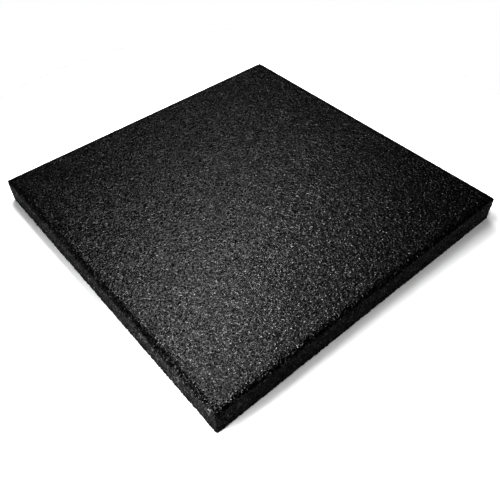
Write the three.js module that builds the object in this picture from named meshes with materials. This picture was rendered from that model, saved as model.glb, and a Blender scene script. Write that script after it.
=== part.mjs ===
// Rubber gym floor tile: one square block of bonded rubber crumb, pressed in a mould.
// A narrow chamfer runs round the top face, and everything else is flat.
// Millimetres, +Z up, origin at the middle of the underside.

import * as THREE from 'three';

// Driving sizes

const tileSide = 500;          // square in plan, the module that tiles are laid at
const tileThickness = 40;
const chamferWidth = 5;        // from the side wall in to the top face
const chamferDrop = 4.5;       // from the top face down to the side wall
const crownRadius = 4;         // softens the edge between top face and chamfer
const shoulderRadius = 1.5;    // softens the edge between chamfer and side wall
const baseRadius = 1;          // softens the edge between side wall and underside
const wallCornerRadius = 2;    // the four upright corners, seen from above
const topCornerRadius = 8;     // the four corners of the top face, seen from above

// How finely the round stretches are cut

const edgeSteps = 4;
const cornerSteps = 8;

// The section across one edge: x is how far in from the side wall, y is the height

const shoulderHeight = tileThickness - chamferDrop;
const middle = tileSide / 2;
const baseEdge = new THREE.Vector2(0, 0);
const shoulderEdge = new THREE.Vector2(0, shoulderHeight);
const crownEdge = new THREE.Vector2(chamferWidth, tileThickness);
const undersideMiddle = new THREE.Vector2(middle, 0);
const topMiddle = new THREE.Vector2(middle, tileThickness);

// Replaces a corner of the section by an arc that meets both of its sides.
// Each side gives up at most half of its length to the arc.
function roundedEdge(before, edge, after, radius) {
  const shorterSide = Math.min(before.distanceTo(edge), after.distanceTo(edge));
  const backward = before.clone().sub(edge).normalize();
  const forward = after.clone().sub(edge).normalize();
  const halfAngle = Math.acos(backward.dot(forward)) / 2;
  const cutBack = Math.min(radius / Math.tan(halfAngle), shorterSide / 2);
  const arcRadius = cutBack * Math.tan(halfAngle);
  const bisector = backward.clone().add(forward).normalize();
  const centre = edge.clone().addScaledVector(bisector, arcRadius / Math.sin(halfAngle));
  const start = edge.clone().addScaledVector(backward, cutBack).sub(centre);
  const end = edge.clone().addScaledVector(forward, cutBack).sub(centre);
  const sweep = Math.sign(start.cross(end)) * (Math.PI - 2 * halfAngle);
  const points = [];
  for (let step = 0; step <= edgeSteps; step += 1) {
    const spoke = start.clone().rotateAround(new THREE.Vector2(), (sweep * step) / edgeSteps);
    points.push(spoke.add(centre));
  }
  return points;
}

const section = [
  ...roundedEdge(undersideMiddle, baseEdge, shoulderEdge, baseRadius),
  ...roundedEdge(baseEdge, shoulderEdge, crownEdge, shoulderRadius),
  ...roundedEdge(shoulderEdge, crownEdge, topMiddle, crownRadius),
];

// The corners of the plan open out from the side walls' radius to the top face's

function cornerRadiusAt(height) {
  const upChamfer = THREE.MathUtils.clamp((height - shoulderHeight) / chamferDrop, 0, 1);
  return THREE.MathUtils.lerp(wallCornerRadius, topCornerRadius, upChamfer);
}

// One level of the tile: a square with round corners, anticlockwise from above

function levelOutline(inset, height) {
  const radius = cornerRadiusAt(height);
  const arcCentre = middle - inset - radius;
  const points = [];
  for (let corner = 0; corner < 4; corner += 1) {
    const turned = (corner * Math.PI) / 2;
    const centre = new THREE.Vector2(arcCentre, arcCentre).rotateAround(new THREE.Vector2(), turned);
    for (let step = 0; step <= cornerSteps; step += 1) {
      const angle = turned + (step / cornerSteps) * (Math.PI / 2);
      const x = centre.x + radius * Math.cos(angle);
      const y = centre.y + radius * Math.sin(angle);
      points.push(new THREE.Vector3(x, y, height));
    }
  }
  return points;
}

// Skins the levels from the underside up, and closes both ends with a fan

function skinLevels(levels) {
  const around = levels[0].length;
  const vertices = levels.flat();
  const undersideCentre = vertices.push(new THREE.Vector3(0, 0, 0)) - 1;
  const topCentre = vertices.push(new THREE.Vector3(0, 0, tileThickness)) - 1;
  const lastLevel = (levels.length - 1) * around;
  const triangles = [];
  for (let i = 0; i < around; i += 1) {
    const next = (i + 1) % around;
    triangles.push(undersideCentre, next, i);
    triangles.push(topCentre, lastLevel + i, lastLevel + next);
    for (let base = 0; base < lastLevel; base += around) {
      const above = base + around;
      triangles.push(base + i, base + next, above + next);
      triangles.push(base + i, above + next, above + i);
    }
  }
  const geometry = new THREE.BufferGeometry().setFromPoints(vertices);
  geometry.setIndex(triangles);
  geometry.computeVertexNormals();
  return geometry;
}

// The tile itself

const bondedCrumb = new THREE.MeshStandardMaterial({ color: 0x1c1c1c, roughness: 0.8, metalness: 0 });
const levels = section.map((point) => levelOutline(point.x, point.y));
const rubberTile = new THREE.Mesh(skinLevels(levels), bondedCrumb);
rubberTile.name = 'rubber_tile';

const tile = new THREE.Group();
tile.add(rubberTile);

export default tile;
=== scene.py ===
# %% [markdown]
# # A rubber gym floor tile
# The real thing is ground tyre rubber: black granules 1 to 4 mm across, stirred with a little
# polyurethane binder and pressed in a heated mould. What the eye reads is not a smooth black
# block but thousands of cut granules, each with its own tilt, pressed flat where it met the mould.
# A displaced texture could fake that, but it would vanish at the silhouette and in the exported
# model. So this script makes the granules as real faces, and leaves to the material only what is
# finer than a granule. All lengths below are in metres, as Blender wants them, and sizes of the
# tile itself are written in millimetres times MM.

import math

import bpy
import numpy as np
from mathutils import Matrix, Vector
from mathutils.geometry import delaunay_2d_cdt


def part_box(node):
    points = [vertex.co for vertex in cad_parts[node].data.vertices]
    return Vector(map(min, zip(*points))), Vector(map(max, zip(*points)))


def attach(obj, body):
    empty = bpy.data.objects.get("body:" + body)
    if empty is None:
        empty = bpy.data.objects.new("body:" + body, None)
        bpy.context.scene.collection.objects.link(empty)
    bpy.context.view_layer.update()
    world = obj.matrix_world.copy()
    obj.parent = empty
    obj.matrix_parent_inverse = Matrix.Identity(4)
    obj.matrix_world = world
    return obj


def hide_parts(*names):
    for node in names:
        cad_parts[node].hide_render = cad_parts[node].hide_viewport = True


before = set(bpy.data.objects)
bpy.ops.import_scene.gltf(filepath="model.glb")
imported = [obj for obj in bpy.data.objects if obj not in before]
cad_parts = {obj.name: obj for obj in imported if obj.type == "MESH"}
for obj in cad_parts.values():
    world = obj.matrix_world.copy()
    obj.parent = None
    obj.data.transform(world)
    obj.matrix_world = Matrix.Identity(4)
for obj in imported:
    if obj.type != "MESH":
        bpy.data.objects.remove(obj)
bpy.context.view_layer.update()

# %% [markdown]
# ## The mould
# A pressed tile takes its size from the mould, so the mould comes first. It could be a mesh that
# later pieces are shrink-wrapped to, but a flat box with one chamfer is short enough to write as a
# formula, and a formula can be asked for thousands of places at once. The side and the thickness
# are read from the frame. The chamfer round the top and the rounding of the corners repeat the CAD
# model's own sizes. Everything that is made later is kept inside this shape.

# %% Sizes of the mould
MM = 0.001
tile_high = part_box("rubber_tile")[1]
half_side = float(tile_high[0])
thickness = float(tile_high[2])
chamfer_width = 5.0 * MM
chamfer_drop = 4.5 * MM
wall_corner_radius = 2.0 * MM
top_corner_radius = 8.0 * MM
shoulder_z = thickness - chamfer_drop
print("tile side", round(2 * half_side / MM, 1), "mm, thickness", round(thickness / MM, 1), "mm")


# %% How much a round corner cuts off
def corner_cut(radius, inset):
    """What a round corner takes off |x| + |y|, on a level that is set in from the walls."""
    return 2.0 * inset + radius * (2.0 - math.sqrt(2.0))


wall_cut = corner_cut(wall_corner_radius, 0.0)
top_cut = corner_cut(top_corner_radius, chamfer_width)
wall_corner = 2.0 * half_side - wall_cut
print("corner cuts:", round(wall_cut / MM, 2), "mm at the wall and", round(top_cut / MM, 2), "mm on top")

# %% [markdown]
# The crown, where the chamfer meets the top, is never a sharp line on a rubber tile, because the
# granules there are only loosely held. So the lower of two surfaces is taken with a soft bend.

# %% The ceiling of the mould
crown_bend = 3.0 * MM


def soft_lower(a, b, bend):
    """The lower of two heights, rounded off where they cross."""
    nearness = np.maximum(bend - abs(a - b), 0.0) / bend
    return np.minimum(a, b) - nearness * nearness * bend / 4.0


def ceiling(x, y):
    """Height of the mould above a place in the plan: the top plate, a chamfer or a corner."""
    from_side = half_side - np.maximum(abs(x), abs(y))
    from_corner = wall_corner - abs(x) - abs(y)
    side_chamfer = shoulder_z + from_side * chamfer_drop / chamfer_width
    corner_chamfer = shoulder_z + from_corner * chamfer_drop / (top_cut - wall_cut)
    chamfer = soft_lower(side_chamfer, corner_chamfer, crown_bend)
    return soft_lower(chamfer, thickness, crown_bend)


mid_chamfer = half_side - chamfer_width / 2.0
chamfer_height = float(ceiling(np.array(mid_chamfer), np.array(0.0)))
print("the mould is", round(chamfer_height / MM, 2), "mm high halfway up the chamfer")

# %% [markdown]
# ## The camera
# The photograph looks down on the corner that comes nearest, from about 0.7 m away, through a lens
# that sees much as the eye does. The camera could be set by eye, but its place follows from the
# outline: four edges of a square, and the two upright corner edges at the left and right, leave
# only one camera that can see them so.

# %% Camera
camera_place = Vector((-387.8, -483.4, 581.8)) * MM
looks_at = Vector((-72.4, -98.4, 40.0)) * MM
camera_roll = math.radians(-1.71)
camera_data = bpy.data.cameras.new("camera")
camera_data.sensor_width = 36.0
camera_data.lens = 40.95
camera_data.clip_start = 0.01
camera_data.dof.use_dof = False
camera = bpy.data.objects.new("camera", camera_data)
bpy.context.scene.collection.objects.link(camera)
aim = (looks_at - camera_place).to_track_quat("-Z", "Y").to_matrix().to_4x4()
camera.matrix_world = Matrix.Translation(camera_place) @ aim @ Matrix.Rotation(camera_roll, 4, "Z")
bpy.context.scene.camera = camera
print("camera is", round((looks_at - camera_place).length, 3), "m from what it looks at")

# %% [markdown]
# ## Scattered seeds
# Each granule of a face starts as one seed point. A plain grid would show as rows, and points
# thrown at random would clump. So the seeds stand on a triangular grid and each is pushed a
# little at random, which is close to how pressed crumb packs.

# %% Seeds
crumb = np.random.default_rng(7)
granule_pitch = 2.2 * MM
# How far a seed may be pushed off its grid, as a share of the pitch.
seed_push = 0.42
# |x| + |y| changes by 1.41 for each step square to a corner, and a little more is kept clear.
corner_clear = 1.5


def scatter_seeds(width, height, pitch):
    """Seed points over a rectangle centred on zero, on a triangular grid that is pushed about."""
    row_height = pitch * math.sqrt(3.0) / 2.0
    columns = np.arange(-width / 2.0 + pitch / 2.0, width / 2.0, pitch)
    rows = np.arange(-height / 2.0 + row_height / 2.0, height / 2.0, row_height)
    grid = np.stack(np.meshgrid(columns, rows), -1)
    grid[1::2, :, 0] += pitch / 2.0
    seeds = grid.reshape(-1, 2)
    return seeds + crumb.uniform(-seed_push, seed_push, seeds.shape) * pitch


def inside_outline(places, clear):
    """Which places in the plan lie at least clear inside the tile's walls and corners."""
    off_sides = np.abs(places).max(1) < half_side - clear
    off_corners = np.abs(places).sum(1) < wall_corner - corner_clear * clear
    return off_sides & off_corners


print("granules of the top stand", round(granule_pitch / MM, 1), "mm apart")


# %% [markdown]
# ## A mosaic of granules
# Pressed crumb has no gaps: each granule fills the room that its neighbours leave it. Modelling
# every granule whole and packing them by simulation would take millions of faces that nobody sees.
# A mosaic gives the same surface. Delaunay triangles join the seeds, and the middle of each
# triangle is where three granules meet, so that is where a crevice goes. Each seed is then joined
# to the crevices around it, which gives every granule a fan of about six cut faces of its own.


# %% Sides that two triangles share
def matched_sides(triangles, point_count):
    """Every side of every triangle, its triangle, and the triangle across it or -1 at the rim."""
    sides = np.concatenate([triangles[:, [0, 1]], triangles[:, [1, 2]], triangles[:, [2, 0]]])
    owner = np.tile(np.arange(len(triangles)), 3)
    key = np.sort(sides, 1) @ np.array([point_count, 1])
    order = np.argsort(key, kind="stable")
    is_pair = key[order][1:] == key[order][:-1]
    first = order[:-1][is_pair]
    second = order[1:][is_pair]
    across = np.full(len(sides), -1)
    across[first] = owner[second]
    across[second] = owner[first]
    return sides, owner, across


# %% Mosaic
def mosaic(rim, seeds):
    """Splits the region inside the rim, a closed loop, into granules.

    Returns the points in the plan, the faces, and how many of the points hold a granule. The
    points after those are the crevices.
    """
    solid = np.vstack([rim, seeds])
    loop = [(i, (i + 1) % len(rim)) for i in range(len(rim))]
    in_mm = [Vector(place) for place in (solid / MM).tolist()]
    inside_only = 1
    same_spot = 1e-6
    found, _, triangles, origin, _, _ = delaunay_2d_cdt(in_mm, loop, [], inside_only, same_spot)
    assert len(found) == len(solid), "two seeds fell on one spot"
    number = np.array([source[0] for source in origin])
    triangles = number[np.array(triangles)]
    sides, owner, across = matched_sides(triangles, len(solid))
    crevice = len(solid) + owner
    inner = across >= 0
    fans = np.column_stack([sides[inner, 0], len(solid) + across[inner], crevice[inner]])
    edges = np.column_stack([sides[~inner], crevice[~inner]])
    places = np.vstack([solid, solid[triangles].mean(1)])
    return places, np.vstack([fans, edges]), len(solid)


# %% [markdown]
# Blender takes whole arrays at once through foreach_set, which fills a mesh of two hundred
# thousand triangles in a fraction of a second. Each face also stores a tone, a random number
# that it shares with the rest of its granule, and the material reads it.


# %% A piece from arrays
def make_piece(name, points, faces, tone):
    """A mesh object with one tone per face, riding on the part's only body."""
    used, faces = np.unique(faces, return_inverse=True)
    points = points[used]
    faces = faces.reshape(-1, 3)
    mesh = bpy.data.meshes.new(name)
    mesh.vertices.add(len(points))
    mesh.vertices.foreach_set("co", points.astype(np.float32).ravel())
    mesh.loops.add(faces.size)
    mesh.loops.foreach_set("vertex_index", faces.astype(np.int32).ravel())
    mesh.polygons.add(len(faces))
    mesh.polygons.foreach_set("loop_start", np.arange(0, faces.size, 3, dtype=np.int32))
    mesh.update(calc_edges=True)
    mesh.validate()
    mesh.attributes.new("tone", "FLOAT", "FACE").data.foreach_set("value", tone.astype(np.float32))
    piece = bpy.data.objects.new(name, mesh)
    bpy.context.scene.collection.objects.link(piece)
    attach(piece, "root")
    print(name, "has", len(faces), "triangles")
    return piece


def granule_tone(faces, granule_count):
    """One random tone per granule: a face takes the tone of the last seed that it holds."""
    tones = crumb.random(granule_count)
    holder = np.where(faces < granule_count, faces, -1).max(1)
    return tones[holder]


def depths(count, low, high, bend):
    """Random depths between low and high. A bend over 1 keeps most of them near low."""
    return low + (high - low) * crumb.random(count) ** bend


# %% [markdown]
# ## Where the faces meet
# The top, the walls and the underside are separate meshes, so they have to share their edge
# points exactly, or light would leak through. Points that nearly meet could be merged afterwards,
# but that moves them. So two rings are made once and used on both sides: the shoulder below the
# chamfer, and the foot of the wall. On a real tile neither is a clean line, so the points wander.

# %% The outline as one long line
near_corner = half_side - wall_cut
right_side = np.array([(half_side, -near_corner), (half_side, near_corner)])
quarter_turn = np.array([(0.0, 1.0), (-1.0, 0.0)])
sides_in_turn = [right_side @ np.linalg.matrix_power(quarter_turn, turn) for turn in range(4)]
outline = np.vstack(sides_in_turn)
side_lengths = np.linalg.norm(np.roll(outline, -1, 0) - outline, axis=1)
corner_stops = np.concatenate([[0.0], np.cumsum(side_lengths)])
girth = float(corner_stops[-1])
print("girth of the tile:", round(girth, 4), "m")


def on_outline(along, inset):
    """Place in the plan at a distance along the outline, set in from the mould's wall."""
    closed = np.vstack([outline, outline[:1]])
    x = np.interp(along, corner_stops, closed[:, 0])
    y = np.interp(along, corner_stops, closed[:, 1])
    shrink = 1.0 - inset / half_side
    return np.column_stack([x * shrink, y * shrink])


# %% Rings
# How far a ring's point may be pushed along, as a share of the pitch.
ring_push = 0.3


def ring(pitch, height, height_play, deepest):
    """Ragged points round the tile: how far along, how high, and how far in from the mould."""
    count = round(girth / pitch)
    along = (np.arange(count) + crumb.uniform(-ring_push, ring_push, count)) * girth / count
    for stop in corner_stops[:-1]:
        along[np.argmin(abs(along - stop))] = stop
    level = height + crumb.uniform(-height_play, height_play, count)
    inset = crumb.uniform(0.0, deepest, count)
    return np.column_stack([along, level, inset])


def ring_points(one_ring):
    """A ring's points in space."""
    return np.column_stack([on_outline(one_ring[:, 0], one_ring[:, 2]), one_ring[:, 1]])


foot_z = 0.5 * MM
shoulder = ring(pitch=2.1 * MM, height=shoulder_z, height_play=0.5 * MM, deepest=1.0 * MM)
foot = ring(pitch=2.6 * MM, height=foot_z, height_play=0.4 * MM, deepest=1.2 * MM)
print("shoulder ring", len(shoulder), "points, foot ring", len(foot), "points")

# %% [markdown]
# ## The top face and its chamfer
# The mould plate presses this face hard. So the seeds lie within a fifth of a millimetre of the
# plate and only the crevices between them go deeper, a few of them nearly a millimetre. That is
# why the top still reads as flat. The chamfer could be a strip of its own, but then a seam would
# run along the crown, where the real crumb simply goes on. So it is part of the same mosaic and
# only has a lower ceiling. Crumb at an edge is held from fewer sides and works loose, so every
# depth grows on the chamfer and fades back to normal one chamfer's width further in.

# %% Top face
shoulder_xyz = ring_points(shoulder)
rim_count = len(shoulder_xyz)
rim_gap = 1.0 * MM
seeds = scatter_seeds(2.0 * half_side, 2.0 * half_side, granule_pitch)
seeds = seeds[inside_outline(seeds, rim_gap)]
plan, top_faces, granule_count = mosaic(shoulder_xyz[:, :2], seeds)
seed_depth = depths(granule_count - rim_count, low=0.0, high=0.18 * MM, bend=2.0)
crevice_depth = depths(len(plan) - granule_count, low=0.0, high=0.9 * MM, bend=3.0)
x, y = plan[rim_count:].T
from_side = half_side - np.maximum(abs(x), abs(y))
edge_looseness = 2.6
near_edge = np.clip(2.0 - from_side / chamfer_width, 0.0, 1.0)
looseness = 1.0 + (edge_looseness - 1.0) * near_edge
top_z = ceiling(x, y) - looseness * np.concatenate([seed_depth, crevice_depth])
top_points = np.column_stack([plan, np.concatenate([shoulder_xyz[:, 2], top_z])])
top_tone = granule_tone(top_faces, granule_count)
print("granules in the top face:", granule_count - rim_count)

# %% Two halves, so that each mesh stays under 200,000 triangles
is_front = top_points[top_faces].mean(1)[:, 1] < 0.0
top_front = make_piece("top_crumb_front", top_points, top_faces[is_front], top_tone[is_front])
top_back = make_piece("top_crumb_back", top_points, top_faces[~is_front], top_tone[~is_front])
for piece in (top_front, top_back):
    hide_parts("rubber_tile")

# %% [markdown]
# ## The walls
# The mould's sides only hold the crumb in and don't press it, so the crevices are deeper here and
# the wall looks rougher and duller than the top. Four walls made one by one would need four
# matching corners. So the wall is one long strip, laid out flat as distance along the outline
# against height, and folded round the tile afterwards. Its two ends get the same ragged posts, so
# that they meet.

# %% The flat strip's rim
post_count = 16
post_z = np.linspace(foot_z, shoulder_z, post_count + 2)[1:-1]
post_inset = crumb.uniform(0.2 * MM, 0.8 * MM, post_count)
start_post = np.column_stack([np.zeros(post_count), post_z, post_inset])
once_round = np.array([girth, 0.0, 0.0])
end_post = start_post + once_round
last_foot = foot[:1] + once_round
last_shoulder = shoulder[:1] + once_round
strip_rim = np.vstack([foot, last_foot, end_post, last_shoulder, shoulder[::-1], start_post[::-1]])
print("the wall strip is", round(girth, 3), "m long and", round(shoulder_z / MM, 1), "mm high")

# %% Walls
side_pitch = 2.8 * MM
foot_gap = 1.6 * MM
seeds = scatter_seeds(girth, shoulder_z, side_pitch) + [girth / 2.0, shoulder_z / 2.0]
in_length = (seeds[:, 0] > rim_gap) & (seeds[:, 0] < girth - rim_gap)
in_height = (seeds[:, 1] > foot_gap) & (seeds[:, 1] < shoulder_z - foot_gap)
seeds = seeds[in_length & in_height]
strip, wall_faces, granule_count = mosaic(strip_rim[:, :2], seeds)
seed_inset = depths(granule_count - len(strip_rim), low=0.0, high=0.9 * MM, bend=1.4)
crevice_inset = depths(len(strip) - granule_count, low=0.3 * MM, high=2.4 * MM, bend=1.4)
wall_inset = np.concatenate([strip_rim[:, 2], seed_inset, crevice_inset])
wall_points = np.column_stack([on_outline(strip[:, 0], wall_inset), strip[:, 1]])
wall_piece = make_piece("wall_crumb", wall_points, wall_faces, granule_tone(wall_faces, granule_count))
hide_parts("rubber_tile")

# %% [markdown]
# ## The underside
# It lies on the floor and nobody looks at it, but it is open crumb like the rest: the bottom plate
# of the mould leaves it flat with pits. One flat sheet would do until someone turns the model
# over. So it gets the same mosaic, only with granules more than twice as wide, which keeps the
# triangles for the faces that are seen. Its faces are turned over so that they look down.

# %% Underside
foot_xyz = ring_points(foot)
underside_pitch = 5.5 * MM
seeds = scatter_seeds(2.0 * half_side, 2.0 * half_side, underside_pitch)
seeds = seeds[inside_outline(seeds, underside_pitch / 2.0)]
plan, base_faces, granule_count = mosaic(foot_xyz[:, :2], seeds)
seed_lift = depths(granule_count - len(foot_xyz), low=0.0, high=0.4 * MM, bend=1.6)
crevice_lift = depths(len(plan) - granule_count, low=0.1 * MM, high=1.4 * MM, bend=1.6)
base_points = np.column_stack([plan, np.concatenate([foot_xyz[:, 2], seed_lift, crevice_lift])])
base_tone = granule_tone(base_faces, granule_count)
base_piece = make_piece("underside_crumb", base_points, base_faces[:, ::-1], base_tone)
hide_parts("rubber_tile")

# %% [markdown]
# ## Loose crumb
# A mosaic alone is a skin without overhangs. On the real tile some granules lie partly on top of
# their neighbours, with a dark line below their edge. One granule could be modelled with care and
# scattered as instances, but the eye soon finds the same shape again. Cut rubber is blocky, so
# each is a box of its own, whose eight corners are pushed about. It is turned at random, sunk most
# of the way into the face and pressed back wherever it would pass the mould.

# %% A granule as a box
BOX_CORNERS = np.array([(x, y, z) for x in (-1, 1) for y in (-1, 1) for z in (-1, 1)], float)
BOX_QUADS = np.array([(0, 1, 3, 2), (4, 6, 7, 5), (0, 4, 5, 1), (2, 3, 7, 6), (0, 2, 6, 4), (1, 5, 7, 3)])
BOX_FACES = np.vstack([BOX_QUADS[:, [0, 1, 2]], BOX_QUADS[:, [0, 2, 3]]])
floor_gap = 0.02 * MM
print("a loose granule has", len(BOX_FACES), "faces")


def press(points, slack):
    """Moves what would pass the mould back inside it, less a slack for each granule."""
    reach = (half_side - slack)[..., None]
    plan_part = np.clip(points[..., :2], -reach, reach)
    past_corner = np.abs(plan_part).sum(-1) - (wall_corner - slack)
    plan_part = plan_part - np.sign(plan_part) * np.maximum(past_corner, 0.0)[..., None] / 2.0
    lid = ceiling(plan_part[..., 0], plan_part[..., 1]) - slack
    height = np.clip(points[..., 2], floor_gap, lid)
    return np.concatenate([plan_part, height[..., None]], -1)


# %% Turning the granules
def unit(vectors):
    """The same directions with length 1."""
    return vectors / np.linalg.norm(vectors, axis=-1, keepdims=True)


def stand_on(ups, spin, lean, lean_way):
    """Rotations that stand a granule on its surface, spun about and leaning a little."""
    faces_up = abs(ups[:, 2:3]) > 0.9
    helper = np.where(faces_up, [[1.0, 0.0, 0.0]], [[0.0, 0.0, 1.0]])
    side = unit(np.cross(helper, ups))
    ahead = np.cross(ups, side)
    way = side * np.cos(lean_way)[:, None] + ahead * np.sin(lean_way)[:, None]
    up = ups * np.cos(lean)[:, None] + way * np.sin(lean)[:, None]
    first = side * np.cos(spin)[:, None] + ahead * np.sin(spin)[:, None]
    first = unit(first - (first * up).sum(1, keepdims=True) * up)
    return np.stack([first, np.cross(up, first), up], 2)


# %% Granules at their seats
# How far a corner of a box may be pushed towards its middle, as a share of the way.
corner_push = 0.55


def crumb_piece(name, seats, ups, length, width, height, lean, bury, slack):
    """Granules at their seats. Each (low, high) pair is a range: length in metres, width and
    height as shares of it, and bury as how many half heights the middle sits below the face."""
    count = len(seats)
    long = crumb.uniform(*length, count)
    wide = long * crumb.uniform(*width, count)
    high = long * crumb.uniform(*height, count)
    half_size = np.column_stack([long, wide, high]) / 2.0
    pushed_in = 1.0 - crumb.uniform(0.0, corner_push, (count, 8, 3))
    spin = crumb.uniform(0.0, math.tau, count)
    lean_angle = abs(crumb.normal(0.0, lean, count))
    lean_way = crumb.uniform(0.0, math.tau, count)
    turns = stand_on(ups, spin, lean_angle, lean_way)
    middle = seats - ups * (half_size[:, 2] * crumb.uniform(*bury, count))[:, None]
    corners = BOX_CORNERS * pushed_in * half_size[:, None]
    points = middle[:, None] + np.einsum("nij,nkj->nki", turns, corners)
    points = press(points, crumb.uniform(*slack, count)[:, None])
    faces = BOX_FACES[None] + 8 * np.arange(count)[:, None, None]
    tone = np.repeat(crumb.random(count), len(BOX_FACES))
    return make_piece(name, points.reshape(-1, 3), faces.reshape(-1, 3), tone)


# %% [markdown]
# A seat is a random place on a face with the way that the face looks there. On the top that way
# comes from the slope of the ceiling, so crumb on the chamfer lies along the chamfer.


# %% Seats
slope_step = 0.05 * MM
outline_step = 0.1 * MM


def top_seats(count, clear):
    """Random places on the top face and chamfer, with the way the surface faces there."""
    places = crumb.uniform(-half_side + clear, half_side - clear, (count, 2))
    places = places[inside_outline(places, clear)]
    x, y = places.T
    rise_x = ceiling(x + slope_step, y) - ceiling(x - slope_step, y)
    rise_y = ceiling(x, y + slope_step) - ceiling(x, y - slope_step)
    ups = unit(np.column_stack([-rise_x, -rise_y, np.full(len(x), 2.0 * slope_step)]))
    return np.column_stack([places, ceiling(x, y)]), ups


def wall_seats(count, low, high, inset):
    """Random places on the four walls between two heights, with the way outwards."""
    along = crumb.uniform(0.0, girth, count)
    places = on_outline(along, inset)
    ahead = on_outline((along + outline_step) % girth, inset) - places
    outwards = unit(np.column_stack([ahead[:, 1], -ahead[:, 0], np.zeros(count)]))
    return np.column_stack([places, crumb.uniform(low, high, count)]), outwards


# %% [markdown]
# Three kinds of crumb lie on the top. The coarse chips were cut clean by the shredder's knives
# and lie almost flat, and they are what glints in the photograph. The fine crumb fills in between
# them. The shreds are slivers of tyre tread, longer than wide. Chips and shreds keep off the
# chamfer, which looks plainer and finer than the top.

# %% Crumb on the top
DEGREE = math.radians(1.0)
seats, ups = top_seats(count=6000, clear=5.5 * MM)
coarse_crumb = crumb_piece(
    "coarse_crumb", seats, ups,
    length=(2.2 * MM, 3.8 * MM), width=(0.6, 1.0), height=(0.5, 0.9),
    lean=4 * DEGREE, bury=(0.75, 1.2), slack=(0.0, 0.3 * MM),
)
seats, ups = top_seats(count=16000, clear=1.0 * MM)
fine_crumb = crumb_piece(
    "fine_crumb", seats, ups,
    length=(1.0 * MM, 2.2 * MM), width=(0.6, 1.0), height=(0.6, 1.0),
    lean=8 * DEGREE, bury=(0.6, 1.3), slack=(0.0, 0.3 * MM),
)

# %% Shreds of tyre on the top
seats, ups = top_seats(count=2500, clear=6.0 * MM)
tyre_shreds = crumb_piece(
    "tyre_shreds", seats, ups,
    length=(3.0 * MM, 7.0 * MM), width=(0.14, 0.3), height=(0.12, 0.2),
    lean=4 * DEGREE, bury=(0.2, 0.9), slack=(0.0, 0.2 * MM),
)

# %% [markdown]
# The walls get one kind of block, 1.8 to 4.2 mm long. Nothing pressed it flat, so it leans more
# than the crumb on the top and ends up to 0.7 mm short of the mould.

# %% Crumb on the walls
seats, ups = wall_seats(count=5000, low=1.0 * MM, high=shoulder_z - 0.5 * MM, inset=0.3 * MM)
wall_granules = crumb_piece(
    "wall_granules", seats, ups,
    length=(1.8 * MM, 4.2 * MM), width=(0.6, 1.0), height=(0.5, 0.9),
    lean=16 * DEGREE, bury=(0.7, 1.3), slack=(0.0, 0.7 * MM),
)

# %% [markdown]
# Where the mould closes, a little crumb is squeezed out along the foot: about one burr to every
# 5 mm. The burrs stand up to a millimetre proud of the crumb behind them, no further than the
# mould's wall, and give the outline its small teeth.

# %% Burrs at the foot
burr_count = 400
print("one burr to every", round(girth / burr_count / MM, 1), "mm of the foot")
seats, ups = wall_seats(count=burr_count, low=0.6 * MM, high=2.2 * MM, inset=0.2 * MM)
foot_burrs = crumb_piece(
    "foot_burrs", seats, ups,
    length=(2.0 * MM, 3.8 * MM), width=(0.5, 0.9), height=(0.6, 1.0),
    lean=15 * DEGREE, bury=(-0.6, 0.2), slack=(0.0, 0.15 * MM),
)

# %% [markdown]
# ## The rubber
# The rubber is vulcanised tyre rubber, coloured through by carbon black. Most of its facets give
# back only a hundredth of the light or so from within, so nearly all that is seen is the sheen of
# the surface: a dielectric of IOR 1.52, thinly coated with binder. A knife-cut face is nearly
# glossy and a torn one is dull. That gives the eye black with small grey glints that come and go
# with the light. A photograph of crumb could be laid over the tile, but its glints would stay put
# when the light or the camera moves. So most glints are left to the lamps, and the material gives
# every facet its own tilt, grey and gloss. Its rare pale grey facets are partly painted glints:
# pale base colour that stands in for bright glints, beside some truly greyer granules.
#
# Two small helpers come first: one turns hex colours to linear, the other adds a node.


# %% Material tools
def linear(hex_colour):
    """An sRGB colour such as 1a1a1a as linear red, green, blue and an alpha of 1."""
    shares = [int(hex_colour[i : i + 2], 16) / 255.0 for i in (0, 2, 4)]
    parts = [share / 12.92 if share <= 0.04045 else ((share + 0.055) / 1.055) ** 2.4 for share in shares]
    return (*parts, 1.0)


def add_node(tree, kind, settings=None, links=None):
    """Adds a node. settings are its properties and socket values, and links feed its sockets."""
    node = tree.nodes.new(kind)
    for name, value in (settings or {}).items():
        if isinstance(name, str) and hasattr(node, name):
            setattr(node, name, value)
        else:
            node.inputs[name].default_value = value
    for name, source in (links or {}).items():
        tree.links.new(source, node.inputs[name])
    return node


# %% [markdown]
# The faces made so far are as flat as the mesh, but cut rubber breaks up into facets a
# millimetre or two across. They are cells of a Voronoi texture: every cell has one random colour,
# and that random colour tilts the normal, picks the grey and picks the gloss of the whole cell.
# A bump map could not do this, because it makes round dimples, and a facet is flat with a sudden
# edge. A bump is used for what it does well: the fine grain of the cut, 0.35 mm from grain to
# grain. On the real rubber that grain is finer still, and it is drawn coarser so that the picture
# can hold it.
#
# A colour ramp turns the random number into a grey. A quarter of the facets get the darkest grey,
# most lie between it and a middle one, and one in ten goes on towards a rare pale grey. That pale
# grey is partly painted glint: pale base colour that stands in for bright glints, beside some truly
# greyer granules.

# %% Bonded rubber crumb
grain_size = 0.35 * MM
darkest_until = 0.35
middle_at = 0.76
# Where the ramp reaches the rare pale grey, which is partly painted glint.
pale_and_glint_at = 0.9


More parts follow.
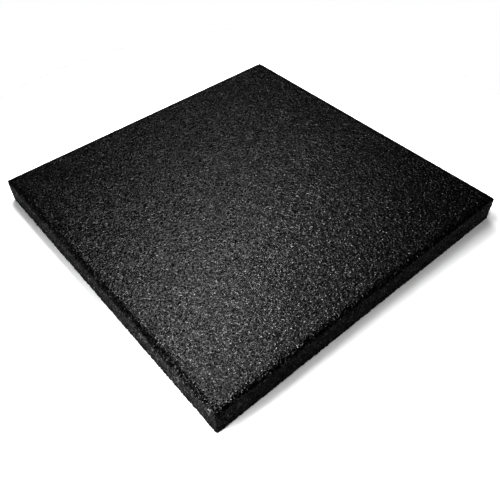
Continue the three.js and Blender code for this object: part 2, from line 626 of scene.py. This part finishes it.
def crumb_rubber(name, greys, facet_size, dull, glossy, facet_tilt, grain_height, specular):
    """Black rubber crumb. greys are three hex colours, of dark, middle and rare pale facets, the pale
    ones partly painted glints, and dull and glossy are the roughness of the dullest and of the
    glossiest facet."""
    rubber = bpy.data.materials.new(name)
    rubber.use_nodes = True
    tree = rubber.node_tree
    tree.nodes.clear()
    place = add_node(tree, "ShaderNodeTexCoord").outputs["Object"]
    facets = add_node(tree, "ShaderNodeTexVoronoi", {"Scale": 1.0 / facet_size}, {"Vector": place})
    draws = add_node(tree, "ShaderNodeSeparateColor", {}, {"Color": facets.outputs["Color"]})
    tone = add_node(tree, "ShaderNodeAttribute", {"attribute_name": "tone"}).outputs["Fac"]
    # The grey comes half from the granule and half from the facet.
    shade = add_node(tree, "ShaderNodeMath", {"operation": "ADD"}, {0: tone, 1: draws.outputs["Red"]})
    half = add_node(tree, "ShaderNodeMath", {"operation": "MULTIPLY", 1: 0.5}, {0: shade.outputs[0]})
    grey = add_node(tree, "ShaderNodeValToRGB", {}, {"Fac": half.outputs[0]})
    ramp = grey.color_ramp
    ramp.elements[0].position = darkest_until
    ramp.elements[0].color = linear(greys[0])
    ramp.elements[1].position = pale_and_glint_at
    ramp.elements[1].color = linear(greys[2])
    ramp.elements.new(middle_at).color = linear(greys[1])
    gloss_range = {"To Min": dull, "To Max": glossy}
    gloss = add_node(tree, "ShaderNodeMapRange", gloss_range, {"Value": draws.outputs["Green"]})
    # The cell's colour, less its middle, tilts the normal of the whole facet.
    less_middle = {"operation": "SUBTRACT", 1: (0.5, 0.5, 0.5)}
    lean = add_node(tree, "ShaderNodeVectorMath", less_middle, {0: facets.outputs["Color"]})
    scaled = {"operation": "SCALE", "Scale": facet_tilt}
    tilt = add_node(tree, "ShaderNodeVectorMath", scaled, {0: lean.outputs[0]})
    normal = add_node(tree, "ShaderNodeNewGeometry").outputs["Normal"]
    tilted = add_node(tree, "ShaderNodeVectorMath", {"operation": "ADD"}, {0: tilt.outputs[0], 1: normal})
    facet = add_node(tree, "ShaderNodeVectorMath", {"operation": "NORMALIZE"}, {0: tilted.outputs[0]})
    fine_noise = {"Scale": 1.0 / grain_size, "Detail": 2.0}
    grain = add_node(tree, "ShaderNodeTexNoise", fine_noise, {"Vector": place})
    bump = add_node(
        tree,
        "ShaderNodeBump",
        {"Strength": 1.0, "Distance": grain_height},
        {"Height": grain.outputs["Fac"], "Normal": facet.outputs[0]},
    )
    surface = add_node(
        tree,
        "ShaderNodeBsdfPrincipled",
        {"IOR": 1.52, "Specular IOR Level": specular},
        {
            "Base Color": grey.outputs["Color"],
            "Roughness": gloss.outputs["Result"],
            "Normal": bump.outputs["Normal"],
        },
    )
    add_node(tree, "ShaderNodeOutputMaterial", {}, {"Surface": surface.outputs["BSDF"]})
    print(name, "has facets of", round(facet_size / MM, 1), "mm")
    return rubber


# %% [markdown]
# One rubber, three finishes, because each was made in its own way.
#
# Pressed crumb met the polished mould plate. Its facets are small and nearly level, and the eye
# gets an even satin black.
#
# The chips were cut clean by the knives and only laid flat by the plate, so they are glossier and
# one facet takes up most of a chip. Near the mirror direction of a lamp they flash one by one, and
# elsewhere they stay black, save their rare pale facets, which are partly painted glints.
#
# Unpressed crumb, on the walls and below, was torn and then only held in by the mould. It is
# dull, its facets tilt strongly, and the eye gets a coarse, matt, dark grey.

# %% Three finishes of the same rubber
# In each finish the third grey, the rare pale one, is partly painted glint.
pressed_rubber = crumb_rubber(
    "pressed_tyre_rubber_crumb", ("050505", "141414", "6c6c6c"),
    facet_size=1.2 * MM, dull=0.5, glossy=0.11, facet_tilt=0.3, grain_height=0.015 * MM, specular=0.5,
)
side_rubber = crumb_rubber(
    "unpressed_tyre_rubber_crumb", ("050505", "303030", "7c7c7c"),
    facet_size=2.4 * MM, dull=0.6, glossy=0.2, facet_tilt=0.9, grain_height=0.03 * MM, specular=0.45,
)
cut_rubber = crumb_rubber(
    "cut_tyre_rubber_chips", ("060606", "1c1c1c", "8c8c8c"),
    facet_size=2.2 * MM, dull=0.25, glossy=0.04, facet_tilt=0.34, grain_height=0.01 * MM, specular=0.5,
)
coarse_crumb.data.materials.append(cut_rubber)
for piece in (top_front, top_back, fine_crumb, tyre_shreds):
    piece.data.materials.append(pressed_rubber)
for piece in (wall_piece, base_piece, wall_granules, foot_burrs):
    piece.data.materials.append(side_rubber)

# %% [markdown]
# ## The floor
# The tile lies on a round sheet of plain white studio paper. Paper has no gloss to speak of, so
# its specular level is zero. A floor that went on for ever would turn grey where the lamps no
# longer reach it. This one only has to take the soft shadow, so it ends not far past that, and the
# white backdrop goes on behind it. It is round so that no corner of it shows as a step in the
# white.

# %% Floor
floor_radius = 0.55
floor_sides = 64
spokes = [math.tau * side / floor_sides for side in range(floor_sides)]
floor_corners = [(floor_radius * math.cos(spoke), floor_radius * math.sin(spoke), 0.0) for spoke in spokes]
floor_mesh = bpy.data.meshes.new("floor")
floor_mesh.from_pydata(floor_corners, [], [tuple(range(floor_sides))])
floor = bpy.data.objects.new("floor", floor_mesh)
bpy.context.scene.collection.objects.link(floor)
paper = bpy.data.materials.new("white_studio_paper")
paper.use_nodes = True
paper_shader = paper.node_tree.nodes["Principled BSDF"]
paper_shader.inputs["Base Color"].default_value = linear("f8f8f8")
paper_shader.inputs["Roughness"].default_value = 0.8
paper_shader.inputs["Specular IOR Level"].default_value = 0.0
floor_mesh.materials.append(paper)
print("the paper is", round(2.0 * floor_radius, 2), "m across")


# %% [markdown]
# ## The light
# A black tile in a bright room would look grey all over. So the room is black to the tile, and a
# few softboxes alone model it. Which lamp does what can be read off the photograph. The top is
# brightest at the near corner, so three lamps hang 0.8 m up, round the spot where that corner
# mirrors them, and a fourth carries the grey on to the middle of the tile. Two larger ones hang
# higher and further off, and lift the rest of the top. The left of the top is lighter than the
# right, and the shadow falls to the near right, so a broad window stands low at the far left. The
# near left wall is the lighter of the two walls that show, so a small lamp stands low beside it.
# The lamps can't be seen themselves.
#
# Where nothing stands, the camera sees pure white: a backdrop lit on its own, which the tile
# doesn't feel. The photograph's floor is burnt out to white and its blacks are deep, which is a
# steep tone curve, and a view gamma of 0.5 gives it.


# %% Light
def softbox(name, place, target, size, watts):
    """A square area light that faces its target."""
    light = bpy.data.lights.new(name, "AREA")
    light.shape = "SQUARE"
    light.size = size
    light.energy = watts
    lamp = bpy.data.objects.new(name, light)
    lamp.location = place
    lamp.rotation_euler = (Vector(target) - Vector(place)).to_track_quat("-Z", "Y").to_euler()
    lamp.visible_camera = False
    bpy.context.scene.collection.objects.link(lamp)
    print(name, "gives", watts, "W from", round(math.dist(place, target), 2), "m")


tile_middle = (0.0, 0.0, 0.0)
near_left_wall = (-0.25, -0.13, 0.0)
softbox("back_softbox", (0.6, 0.9, 1.2), tile_middle, size=0.36, watts=9.0)
softbox("right_softbox", (0.9, 0.6, 1.2), tile_middle, size=0.3, watts=3.7)
softbox("front_softbox", (0.0, -0.3, 0.8), tile_middle, size=0.2, watts=4.0)
softbox("left_softbox", (-0.3, 0.0, 0.8), tile_middle, size=0.2, watts=3.7)
softbox("middle_softbox", (-0.03, 0.22, 0.8), tile_middle, size=0.2, watts=2.1)
softbox("far_softbox", (0.0, 0.6, 0.8), tile_middle, size=0.2, watts=2.6)
softbox("side_lamp", (-0.5, -0.21, 0.1), near_left_wall, size=0.15, watts=1.8)
softbox("far_left_window", (-1.4, 1.4, 0.28), tile_middle, size=0.85, watts=5.2)

# %% Room and backdrop
room = bpy.data.worlds.new("room")
room.use_nodes = True
room_tree = room.node_tree
room_tree.nodes.clear()
dark = add_node(room_tree, "ShaderNodeBackground", {"Color": linear("000000")})
backdrop = add_node(room_tree, "ShaderNodeBackground", {"Color": linear("ffffff")})
to_camera = add_node(room_tree, "ShaderNodeLightPath").outputs["Is Camera Ray"]
choices = {0: to_camera, 1: dark.outputs[0], 2: backdrop.outputs[0]}
chosen = add_node(room_tree, "ShaderNodeMixShader", {}, choices)
add_node(room_tree, "ShaderNodeOutputWorld", {}, {"Surface": chosen.outputs[0]})
bpy.context.scene.world = room
print("the room is black to the tile and white to the camera")

# %% Tone
view_gamma = 0.5
bpy.context.scene.view_settings.view_transform = "Standard"
bpy.context.scene.view_settings.gamma = view_gamma
print("view gamma", view_gamma)
